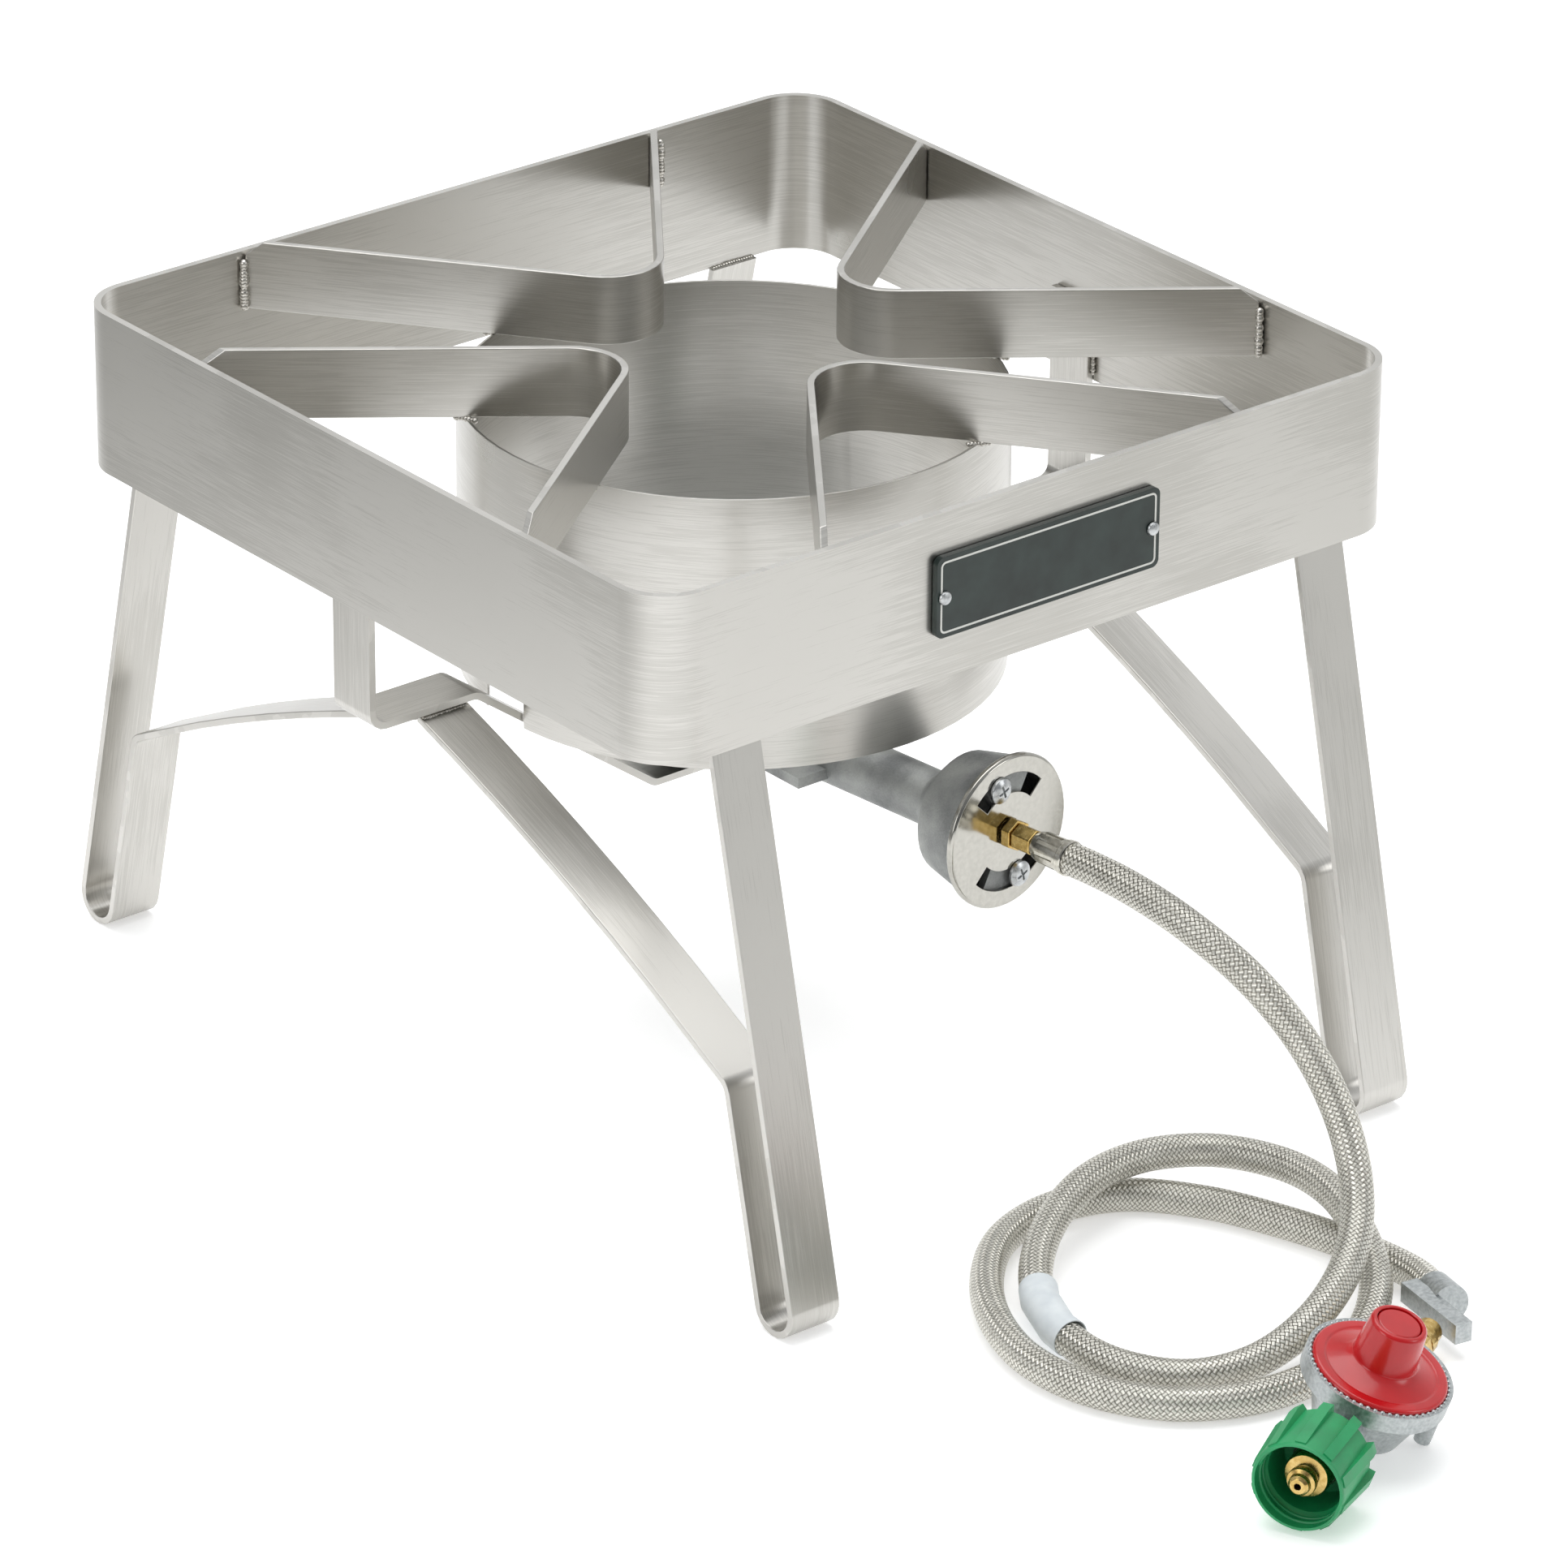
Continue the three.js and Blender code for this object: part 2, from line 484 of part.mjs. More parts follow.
const BOSS_END = 33;                                     // outlet boss of the regulator
function regulatorBody() {
  const { rim, seat, outlet } = REG;
  const bowl = turned([[0, -17], [13, -17], [19, -13], [23, -2], [rim - 5, 6], [rim - 0.6, 7.6], [rim, 8.4],
    [rim, seat + 3.4], [0, seat + 3.4]], 56);
  const neck = alongX(rod(NECK.radius, NECK.end, -10, 24));
  const boss = alongX(rod(8.5, 5, BOSS_END, 20)).translate(0, 0, outlet);
  const lug = rod(3.6, -13, 10, 14).translate(12, -25.5, 0);
  const recess = turned([[0, seat], [rim - 2.1, seat], [rim - 2.1, seat + 10], [0, seat + 10]], 56);
  const chamber = turned([[0, -8], [16, -8], [20, 0], [22, seat + 1], [0, seat + 1]], 32);
  const inlet = alongX(rod(3.2, NECK.end - 1, -10, 14));
  const outletBore = alongX(rod(4, 10, 40, 14)).translate(0, 0, -7.6);
  const body = solid(bowl).add(solid(neck)).add(solid(boss)).add(solid(lug));
  return geometryOf([recess, chamber, inlet, outletBore]
    .reduce((rest, tool) => rest.subtract(solid(tool)), body));
}
place('regulator_body', regulatorBody(), ZINC, regulator);

const bonnetFoot = REG.seat + 1.2 + 2 * GAP;             // over the diaphragm's edge
place('regulator_diaphragm', turned([[0, REG.seat + GAP], [REG.rim - 2.5, REG.seat + GAP],
  [REG.rim - 2.5, REG.seat + GAP + 1.2], [0, REG.seat + GAP + 1.2]], 40), DARK, regulator);

function regulatorBonnet() {
  const z = bonnetFoot;
  const outside = [[0, z], [REG.rim - 2.5, z], [REG.rim - 2.5, z + 2.2], [REG.rim - 3.4, z + 3.2],
    [24.8, z + 3.4], [23.6, z + 2.8], [16.4, z + 5.4], [13.8, z + 7.4], [12, z + 24.8], [11, z + 25.9],
    [0, z + 25.9]];
  const inside = [[0, z - 1], [21.5, z - 1], [12.6, z + 3.2], [11.6, z + 5.6], [10, z + 20], [0, z + 20]];
  return cut(turned(outside, 56), turned(inside, 32), rod(8.2, z + 10, z + 30, 24),
    tube(8, 9.6, z + 21.6, z + 30, 24));
}
place('regulator_bonnet', regulatorBonnet(), RED, regulator);
place('regulator_plug', turned([[0, bonnetFoot + 21.9], [9.3, bonnetFoot + 21.9], [9.3, bonnetFoot + 24.9],
  [8.6, bonnetFoot + 25.5], [0, bonnetFoot + 25.5]], 32), RED, regulator);

const plateTop = REG.seat + GAP + 1.2 + GAP + 1.5;
place('diaphragm_plate', turned([[0, plateTop - 1.5], [12, plateTop - 1.5], [12, plateTop],
  [4, plateTop], [3.4, plateTop + 2], [0, plateTop + 2]], 24), ZINC, regulator);

// the compression spring between the diaphragm plate and the plug
class Helix extends THREE.Curve {
  constructor(radius, z0, z1, turns) {
    super();
    Object.assign(this, { radius, z0, z1, turns });
  }

  getPoint(t, target = new THREE.Vector3()) {
    const a = 2 * Math.PI * this.turns * t;
    return target.set(this.radius * Math.cos(a), this.radius * Math.sin(a),
      this.z0 + (this.z1 - this.z0) * t);
  }
}
const wire = new THREE.Shape([0, 1, 2, 3, 4, 5]
  .map((k) => v2(0.8 * Math.cos(deg(60 * k)), 0.8 * Math.sin(deg(60 * k)))));
place('regulator_spring', new THREE.ExtrudeGeometry(wire, {
  steps: 60, extrudePath: new Helix(6.6, plateTop + 1.2, bonnetFoot + 20.8, 5),
}), STEEL, regulator);

// the brass fitting from the regulator's outlet to the elbow block
const outletEnd = 83.2;
place('outlet_fitting', cut(
  join(alongX(rod(6, BOSS_END + GAP, outletEnd, 20)), alongX(rod(8.4, 54, 68, 6)), alongX(rod(7, 70, 76, 20))),
  alongX(rod(2.5, 30, 100, 12)),
).translate(0, 0, REG.outlet), BRASS, regulator);

// ---------------------------------------------------------------- cylinder coupling
function couplingNut() {
  const { open, back, radius, rib, bore, ribs } = NUT;
  const shell = turned([[0, open], [radius - 0.5, open], [radius, open + 1], [radius - 0.6, back - 1.4],
    [radius - 2, back], [0, back]], 48);
  const hollow = turned([[0, open - 1], [bore, open - 1], [bore, open + 9], [bore - 1.6, open + 11],
    [bore - 1.6, back - 4], [0, back - 4]], 40);
  const fins = [];
  for (let k = 0; k < ribs; k++) {
    const side = new THREE.Shape([v2(open + 1.5, radius - 2), v2(open + 1.5, radius + 0.5),
      v2(back - 5, rib), v2(back, rib - 0.6), v2(back, radius - 3)]);
    fins.push(solid(extrude(side, 4.6).translate(0, 0, -2.3).rotateY(-Math.PI / 2)
      .rotateZ(deg((360 * k) / ribs))));
  }
  const body = fins.reduce((sum, fin) => sum.add(fin), solid(shell));
  const neckHole = rod(NECK.radius + 0.5, back - 9, back + 9, 32);
  return alongX(geometryOf(body.subtract(solid(hollow)).subtract(solid(neckHole))));
}
place('coupling_nut', couplingNut(), GREEN, regulator);

const bushFace = NECK.end - GAP - 7;
place('inlet_bushing', alongX(tube(4.4, 10.4, bushFace, NECK.end - GAP, 32)), DARK, regulator);
place('inlet_nipple', cut(
  alongX(turned([[0, -77.6], [3.2, -77.6], [4.5, -76.4], [4.5, -74.4], [6.2, -73.8], [6.2, -70.8],
    [5.1, -70.2], [5.1, -68.8], [9.2, -68], [9.6, -66.6], [9.6, bushFace - GAP], [4, bushFace - GAP],
    [4, NECK.end - GAP], [0, NECK.end - GAP]], 32)),
  alongX(rod(1.5, -80, -40, 12)),
), BRASS, regulator);

export default stand;
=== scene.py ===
"""An outdoor propane burner stand: a square flat-bar frame that carries a cast burner in a round
windscreen, with a braided gas hose and a pressure regulator lying in front of it."""

import json
import math

import bmesh
import bpy
from mathutils import Matrix, Vector

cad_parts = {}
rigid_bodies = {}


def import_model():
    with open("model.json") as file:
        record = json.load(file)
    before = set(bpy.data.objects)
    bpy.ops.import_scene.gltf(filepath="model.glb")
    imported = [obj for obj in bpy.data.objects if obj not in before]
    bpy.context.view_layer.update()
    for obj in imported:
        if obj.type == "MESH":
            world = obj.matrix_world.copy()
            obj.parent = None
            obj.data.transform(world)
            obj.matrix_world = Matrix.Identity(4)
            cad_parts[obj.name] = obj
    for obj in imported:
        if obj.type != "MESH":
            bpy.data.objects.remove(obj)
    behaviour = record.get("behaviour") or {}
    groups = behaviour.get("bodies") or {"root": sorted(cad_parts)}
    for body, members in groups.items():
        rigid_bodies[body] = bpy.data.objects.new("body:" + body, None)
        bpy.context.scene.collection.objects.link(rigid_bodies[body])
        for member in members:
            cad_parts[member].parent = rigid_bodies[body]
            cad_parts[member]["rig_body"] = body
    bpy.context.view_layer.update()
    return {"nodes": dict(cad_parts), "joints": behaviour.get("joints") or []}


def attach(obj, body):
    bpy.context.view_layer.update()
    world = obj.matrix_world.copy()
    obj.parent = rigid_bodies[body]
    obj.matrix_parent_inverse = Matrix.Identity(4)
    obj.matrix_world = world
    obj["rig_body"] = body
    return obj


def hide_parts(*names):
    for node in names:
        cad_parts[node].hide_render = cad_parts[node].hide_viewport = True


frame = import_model()
joints = {joint["name"]: joint for joint in frame["joints"]}
MM = 0.001

# ---------------------------------------------------------------- camera
# A long lens looks down over the frame's front left corner, so the bars hardly converge.
VIEW_TARGET = Vector((43.74, 22.28, 81.99)) * MM
VIEW_DISTANCE = 4.0287
VIEW_AZIMUTH, VIEW_ELEVATION, VIEW_ROLL = (math.radians(a) for a in (-39.07, 25.88, 0.41))

camera = bpy.data.objects.new("camera", bpy.data.cameras.new("camera"))
bpy.context.scene.collection.objects.link(camera)
bpy.context.scene.camera = camera
camera.data.sensor_width = 36
camera.data.lens = 208.3
camera.data.shift_x = 0.0042
camera.data.shift_y = 0.0095
camera.data.clip_end = 50
camera.matrix_world = (
    Matrix.Translation(VIEW_TARGET)
    @ Matrix.Rotation(VIEW_AZIMUTH, 4, "Z")
    @ Matrix.Rotation(math.pi / 2 - VIEW_ELEVATION, 4, "X")
    @ Matrix.Rotation(VIEW_ROLL, 4, "Z")
    @ Matrix.Translation((0, 0, VIEW_DISTANCE))
)

# ---------------------------------------------------------------- hose
# Stainless wire braided over a rubber gas hose, 14.5 mm across and 1.26 m long. It leaves its
# crimped sleeve at the burner, droops to the floor, lies there in two loose turns, and crosses
# over its own last stretch before it ends in the block at the regulator.
HOSE_RADIUS = 7.25 * MM
HOSE_SIDES = 40
HOSE_RING_STEP = 1.6 * MM
TUBE_AT = Vector(joints["air_shutter_turn"]["pos_m"])
TUBE_WAY = Vector(joints["air_shutter_turn"]["axis"]).normalized()
HOSE_EXIT = TUBE_AT + TUBE_WAY * 211.4 * MM
HOSE_ROUTE = [
    (24.5, -237, 145), (29, -268, 138.5), (40, -297, 121), (50, -321, 96), (53, -342, 68),
    (45, -361, 45), (24, -380, 29), (-9, -394, 18), (-41, -395, 10), (-68, -384, 7.5),
    (-86, -357, 8.2), (-86, -324, 9.4), (-71, -292, 11.5), (-44, -267, 17), (-10, -252, 22.5),
    (24, -250, 23), (53, -264, 22), (67, -293, 22.5), (64, -326, 24), (54, -354, 21),
    (38, -382, 13), (9, -404, 8), (-24, -416, 7.5), (-58, -414, 7.5), (-88, -397, 7.5),
    (-106, -368, 7.5), (-110, -335, 7.5), (-100, -301, 7.5), (-80, -271, 7.5), (-52, -248, 7.5),
    (-19, -240, 7.5), (13, -249, 7.5), (36, -275, 7.5), (51, -309, 7.5), (61, -345, 7.5),
    (63, -379, 8.5), (57.5, -396, 10.5),
]


def smooth_route(points, step):
    """A centripetal Catmull-Rom curve through the points, walked at an even step."""
    between = 24                                    # straight pieces from one point to the next
    ends = [2 * points[0] - points[1], *points, 2 * points[-1] - points[-2]]
    fine = []
    for p0, p1, p2, p3 in zip(ends, ends[1:], ends[2:], ends[3:]):
        t1 = (p1 - p0).length ** 0.5
        t2 = t1 + (p2 - p1).length ** 0.5
        t3 = t2 + (p3 - p2).length ** 0.5
        for k in range(between):
            t = t1 + (t2 - t1) * k / between
            a1 = p0.lerp(p1, t / t1)
            a2 = p1.lerp(p2, (t - t1) / (t2 - t1))
            a3 = p2.lerp(p3, (t - t2) / (t3 - t2))
            fine.append(a1.lerp(a2, t / t2).lerp(a2.lerp(a3, (t - t1) / (t3 - t1)), (t - t1) / (t2 - t1)))
    fine.append(points[-1])
    walked, left = [fine[0]], step
    for a, b in zip(fine, fine[1:]):
        span = (b - a).length
        while span >= left:
            a = a.lerp(b, left / span)
            walked.append(a)
            span = (b - a).length
            left = step
        left -= span
    return walked


def add_object(name, mesh, body, materials):
    """Links a mesh as a piece that rides on a CAD body."""
    piece = bpy.data.objects.new(name, mesh)
    bpy.context.scene.collection.objects.link(piece)
    mesh.materials.clear()
    for material in materials:
        mesh.materials.append(material)
    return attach(piece, body)


def swept_tube(name, line, radius, sides):
    """A closed tube along a line, with metres along it and turns around it as its UV map."""
    rings, way, across = [], None, Vector((1, 0, 0))
    for i, point in enumerate(line):
        way = (line[min(i + 1, len(line) - 1)] - line[max(i - 1, 0)]).normalized()
        across = (across - way * across.dot(way)).normalized()
        side = way.cross(across)
        rings.append([point + (across * math.cos(a) + side * math.sin(a)) * radius
                      for a in (2 * math.pi * k / sides for k in range(sides))])
    form = bmesh.new()
    grid = [[form.verts.new(p) for p in ring] for ring in rings]
    uv = form.loops.layers.uv.new("turns_and_metres")
    step = (line[1] - line[0]).length
    for i in range(len(grid) - 1):
        for k in range(sides):
            n = (k + 1) % sides
            face = form.faces.new((grid[i][k], grid[i][n], grid[i + 1][n], grid[i + 1][k]))
            face.smooth = True
            corners = ((k, i), (k + 1, i), (k + 1, i + 1), (k, i + 1))
            for loop, (u, v) in zip(face.loops, corners):
                loop[uv].uv = (u / sides, v * step)
    form.faces.new(list(reversed(grid[0])))
    form.faces.new(grid[-1])
    mesh = bpy.data.meshes.new(name)
    form.to_mesh(mesh)
    form.free()
    return mesh


def linear(hex_colour):
    """An sRGB hex colour as linear red, green, blue and alpha."""
    parts = [int(hex_colour[i:i + 2], 16) / 255 for i in (0, 2, 4)]
    return (*[p / 12.92 if p <= 0.04045 else ((p + 0.055) / 1.055) ** 2.4 for p in parts], 1.0)


def add(tree, kind, inputs=None, **settings):
    """Adds a node. inputs maps its sockets to values, or to the sockets that feed them."""
    node = tree.nodes.new(kind)
    for name, value in settings.items():
        setattr(node, name, value)
    for key, value in (inputs or {}).items():
        if isinstance(value, bpy.types.NodeSocket):
            tree.links.new(value, node.inputs[key])
        else:
            node.inputs[key].default_value = value
    return node


def start_material(name, **constants):
    """A new material with its Principled shader; constants go straight onto the shader's sockets."""
    material = bpy.data.materials.new(name)
    material.use_nodes = True
    shader = material.node_tree.nodes["Principled BSDF"]
    for socket, value in constants.items():
        shader.inputs[socket.replace("_", " ")].default_value = value
    return material, material.node_tree, shader


def ramp(tree, fac, *stops):
    """A colour ramp with (place, hex colour) stops."""
    node = add(tree, "ShaderNodeValToRGB", {"Fac": fac})
    elements = node.color_ramp.elements
    while len(elements) < len(stops):
        elements.new(0.5)
    for element, (place, colour) in zip(elements, stops):
        element.position = place
        element.color = linear(colour)
    return node.outputs["Color"]


def wire_braid():
    """Woven stainless braid: flat bundles of wire cross over and under at about 45 degrees, so the
    hose glitters in small diamonds and is dark in the pits between them. Both are also painted into
    the base colour: a painted highlight on each bundle's crown and painted shade in the pits."""
    carriers = 16                                   # bundles each way round the hose
    pitch = 2.5 * MM                                # diamond length along the hose
    wires = 3                                       # wires drawn in a bundle, coarser than the real ones
    material, tree, shader = start_material("braided_stainless_wire", Metallic=1.0)
    uv = add(tree, "ShaderNodeUVMap", uv_map="turns_and_metres")
    parts = add(tree, "ShaderNodeSeparateXYZ", {0: uv.outputs[0]})

    def maths(operation, *values):
        return add(tree, "ShaderNodeMath", dict(enumerate(values)), operation=operation).outputs[0]

    around = maths("MULTIPLY", parts.outputs["X"], carriers)
    along = maths("MULTIPLY", parts.outputs["Y"], 1 / pitch)
    left, right = maths("ADD", around, along), maths("SUBTRACT", around, along)
    crowns, strands = [], []
    for family in (left, right):
        share = maths("FRACT", family)
        crowns.append(maths("SINE", maths("MULTIPLY", share, math.pi)))
        strands.append(maths("ABSOLUTE", maths("SINE", maths("MULTIPLY", share, math.pi * wires))))
    parity = maths("MODULO", maths("ADD", maths("FLOOR", left), maths("FLOOR", right)), 2)
    over = maths("GREATER_THAN", maths("ABSOLUTE", parity), 0.5)

    def woven(pair):
        return add(tree, "ShaderNodeMix", {0: over, 2: pair[0], 3: pair[1]}).outputs[0]

    crown, strand = woven(crowns), woven(strands)
    height = maths("ADD", crown, maths("MULTIPLY", strand, 0.25))
    bump = add(tree, "ShaderNodeBump", {"Strength": 0.85, "Distance": 0.6 * MM, "Height": height})
    stain = add(tree, "ShaderNodeTexNoise", {"Scale": 28.0, "Detail": 3.0})
    # painted highlight and painted shade: the base colour is lighter on each bundle's crown and darker in
    # the pits between bundles, with a random stain over it
    painted_pit_shade_and_stain = maths("ADD", maths("MULTIPLY", crown, 0.8), maths("MULTIPLY", stain.outputs[0], 0.3))
    tree.links.new(ramp(tree, painted_pit_shade_and_stain, (0.1, "4a473d"), (0.5, "b3b0a5"), (0.95, "eae8e0")),
                   shader.inputs["Base Color"])
    tree.links.new(maths("MULTIPLY_ADD", stain.outputs[0], 0.14, 0.26), shader.inputs["Roughness"])
    tree.links.new(bump.outputs[0], shader.inputs["Normal"])
    return material


hose_points = [HOSE_EXIT, HOSE_EXIT + TUBE_WAY * 12 * MM, *[Vector(p) * MM for p in HOSE_ROUTE]]
hose_line = smooth_route(hose_points, HOSE_RING_STEP)
hose_tube = swept_tube("braided_gas_hose", hose_line, HOSE_RADIUS, HOSE_SIDES)
hose = add_object("braided_gas_hose", hose_tube, "stand", [wire_braid()])
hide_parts("gas_hose")

# ---------------------------------------------------------------- floor and light
# A pale seamless table with a large overhead softbox, a taller one at the left and a weak fill.
floor_mesh = bpy.data.meshes.new("floor")
floor_mesh.from_pydata([(-9, -9, 0), (9, -9, 0), (9, 9, 0), (-9, 9, 0)], [], [(0, 1, 2, 3)])
floor = bpy.data.objects.new("floor", floor_mesh)
bpy.context.scene.collection.objects.link(floor)
floor_paint, floor_tree, floor_shader = start_material("matt_white_table", Roughness=0.9)
floor_mesh.materials.append(floor_paint)


def side_card(tree, vector, across, *stops):
    """A grey ramp across one level direction, for what lies outside the picture."""
    reach = add(tree, "ShaderNodeVectorMath", {0: vector, 1: across}, operation="DOT_PRODUCT")
    share = add(tree, "ShaderNodeMapRange", {0: reach.outputs["Value"], 1: -1.2, 2: 1.2})
    return ramp(tree, share.outputs[0], *stops)


# the table is white where it shows, and painted greyer past the picture's left and right edges, a
# painted shade that darkens the reflections on the upright steel faces from end to end
SCREEN_RIGHT = (0.778, -0.628, 0.0)
floor_at = add(floor_tree, "ShaderNodeTexCoord")
painted_floor_shade_and_glow = side_card(floor_tree, floor_at.outputs["Object"], SCREEN_RIGHT,
                       (0.08, "8a8a88"), (0.34, "f4f4f4"), (0.68, "f4f4f4"), (0.95, "c4c4c2"))
floor_tree.links.new(painted_floor_shade_and_glow, floor_shader.inputs["Base Color"])
# the same colour goes to emission, so the table glows though it is no lamp: painted light that lifts the
# shadows on the table and lights the stand from below
floor_tree.links.new(painted_floor_shade_and_glow, floor_shader.inputs["Emission Color"])
floor_shader.inputs["Emission Strength"].default_value = 0.42

bpy.context.scene.view_settings.view_transform = "Standard"
world = bpy.data.worlds.new("studio")
world.use_nodes = True
sky_tree = world.node_tree
sky_at = add(sky_tree, "ShaderNodeTexCoord")
BRIGHT_SIDE = (0.58, 0.66, 0.47)
sky_tone = side_card(sky_tree, sky_at.outputs["Generated"], BRIGHT_SIDE,
                     (0.1, "5c5e60"), (0.5, "b4b6b8"), (0.9, "fbfcfd"))
sky_tree.links.new(sky_tone, sky_tree.nodes["Background"].inputs["Color"])
sky_tree.nodes["Background"].inputs["Strength"].default_value = 0.95
bpy.context.scene.world = world


def softbox(name, at, size, watts, aim=(0, -0.1, 0.15)):
    """A square area light that faces the stand."""
    light = bpy.data.lights.new(name, "AREA")
    light.shape = "RECTANGLE"
    light.size, light.size_y = size
    light.energy = watts
    lamp = bpy.data.objects.new(name, light)
    bpy.context.scene.collection.objects.link(lamp)
    lamp.location = at
    lamp.rotation_euler = (Vector(aim) - Vector(at)).to_track_quat("-Z", "Y").to_euler()


softbox("overhead_softbox", (0.1, 0.2, 2.6), (2.4, 2.4), 40)
softbox("left_softbox", (-2.6, -0.4, 1.3), (1.2, 1.8), 18)
softbox("right_fill", (1.7, -2.4, 1.2), (1.0, 1.2), 10)

# ---------------------------------------------------------------- square band, tabs and legs
# Cold-formed stainless flat bar, 3.2 mm thick: a square band, four V-bent tabs, and four legs each
# bent from one length. The sheared edges are broken by tumbling, so they catch the light.
def apply_modifiers(piece):
    """Turns a piece with modifiers into a plain mesh."""
    bpy.context.view_layer.update()
    raw = piece.data
    graph = bpy.context.evaluated_depsgraph_get()
    finished = bpy.data.meshes.new_from_object(piece.evaluated_get(graph))
    piece.modifiers.clear()
    piece.data = finished
    bpy.data.meshes.remove(raw)


def dressed(node, name, material, bevel=0.45 * MM, segments=2, smooth=35):
    """A merged copy of a CAD node with broken edges, which stands for the node."""
    source = frame["nodes"][node]
    mesh = source.data.copy()
    form = bmesh.new()
    form.from_mesh(mesh)
    bmesh.ops.remove_doubles(form, verts=form.verts, dist=1e-6)
    bmesh.ops.dissolve_limit(form, angle_limit=math.radians(1), verts=form.verts, edges=form.edges)
    form.to_mesh(mesh)
    form.free()
    piece = add_object(name, mesh, source["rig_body"], [material])
    mesh.polygons.foreach_set("use_smooth", [True] * len(mesh.polygons))
    if bevel:
        edge = piece.modifiers.new("broken_edges", "BEVEL")
        edge.width = bevel
        edge.segments = segments
        edge.limit_method = "ANGLE"
        edge.angle_limit = math.radians(smooth)
    else:
        mesh.set_sharp_from_angle(angle=math.radians(smooth))
    flat = piece.modifiers.new("flat_faces_stay_flat", "WEIGHTED_NORMAL")
    flat.keep_sharp = True
    apply_modifiers(piece)
    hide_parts(node)
    return piece


def brushed_stainless(name, fine_axis):
    """Mill-brushed stainless: fine scratches along the bar over an even, nearly neutral grey, a
    little cloudy where the belt pressed less."""
    scratch = 0.45 * MM                             # belt scratches, drawn coarser than 120 grit
    run = 30 * MM
    material, tree, shader = start_material(name, Metallic=1.0)
    place = add(tree, "ShaderNodeTexCoord")
    scale = [1 / run] * 3
    scale["XYZ".index(fine_axis)] = 1 / scratch
    lines_at = add(tree, "ShaderNodeMapping", {0: place.outputs["Object"], "Scale": scale})
    lines = add(tree, "ShaderNodeTexNoise", {0: lines_at.outputs[0], "Scale": 1.0, "Detail": 3.0,
                                             "Roughness": 0.6})
    clouds = add(tree, "ShaderNodeTexNoise", {0: place.outputs["Object"], "Scale": 9.0, "Detail": 2.0})
    both = add(tree, "ShaderNodeMath", {0: lines.outputs[0], 1: clouds.outputs[0]}, operation="ADD")
    tree.links.new(ramp(tree, both.outputs[0], (0.55, "b6b4ae"), (1.0, "c3c1bc"), (1.45, "cbc9c4")),
                   shader.inputs["Base Color"])
    rough = add(tree, "ShaderNodeMapRange", {0: clouds.outputs[0], 1: 0.3, 2: 0.7, 3: 0.27, 4: 0.36})
    tree.links.new(rough.outputs[0], shader.inputs["Roughness"])
    bump = add(tree, "ShaderNodeBump", {"Strength": 0.08, "Distance": 0.04 * MM,
                                        "Height": lines.outputs[0]})
    tree.links.new(bump.outputs[0], shader.inputs["Normal"])
    return material


# each bar was brushed along its length, so the fine axis is the one across it
brushed_level = brushed_stainless("brushed_stainless_level", "Z")
brushed_leg = brushed_stainless("brushed_stainless_leg", "X")
brushed_strap = brushed_stainless("brushed_stainless_strap", "Y")
dressed("top_band", "square_band", brushed_level, bevel=0.5 * MM)
SIDES = ("back", "left", "front", "right")
for side in SIDES:
    dressed(f"pot_tab_{side}", f"bent_tab_{side}", brushed_level)
for leg in ("front_left", "front_right", "back_left", "back_right"):
    dressed(f"leg_{leg}", f"bent_leg_{leg}", brushed_leg)

# ---------------------------------------------------------------- windscreen and hanger strap
# The windscreen is a rolled 1.2 mm sheet. The strap is one bar from side to side, notched in under
# the windscreen's rim, with the burner bolted to its flat.
dressed("windscreen", "windscreen_shell", brushed_level, bevel=0.3 * MM)
dressed("burner_hanger_strap", "hanger_strap", brushed_strap)

# ---------------------------------------------------------------- weld beads
# Short beads of stick weld: lumps of slightly uneven size that overlap in a row.
def bright_metal(name, dark, light, roughness, metallic=1.0, grain=2.2 * MM, bump=0.12):
    """A machined or plated metal: nearly even in colour, with faint tool marks in its shine."""
    material, tree, shader = start_material(name, Metallic=metallic)
    place = add(tree, "ShaderNodeTexCoord")
    marks = add(tree, "ShaderNodeTexNoise", {0: place.outputs["Object"], "Scale": 1 / grain, "Detail": 4.0})
    tree.links.new(ramp(tree, marks.outputs[0], (0.3, dark), (0.7, light)), shader.inputs["Base Color"])
    rough = add(tree, "ShaderNodeMapRange", {0: marks.outputs[0], 1: 0.3, 2: 0.7, 3: roughness * 0.8,
                                             4: roughness * 1.25})
    tree.links.new(rough.outputs[0], shader.inputs["Roughness"])
    relief = add(tree, "ShaderNodeBump", {"Strength": bump, "Distance": 0.1 * MM,
                                          "Height": marks.outputs[0]})
    tree.links.new(relief.outputs[0], shader.inputs["Normal"])
    return material


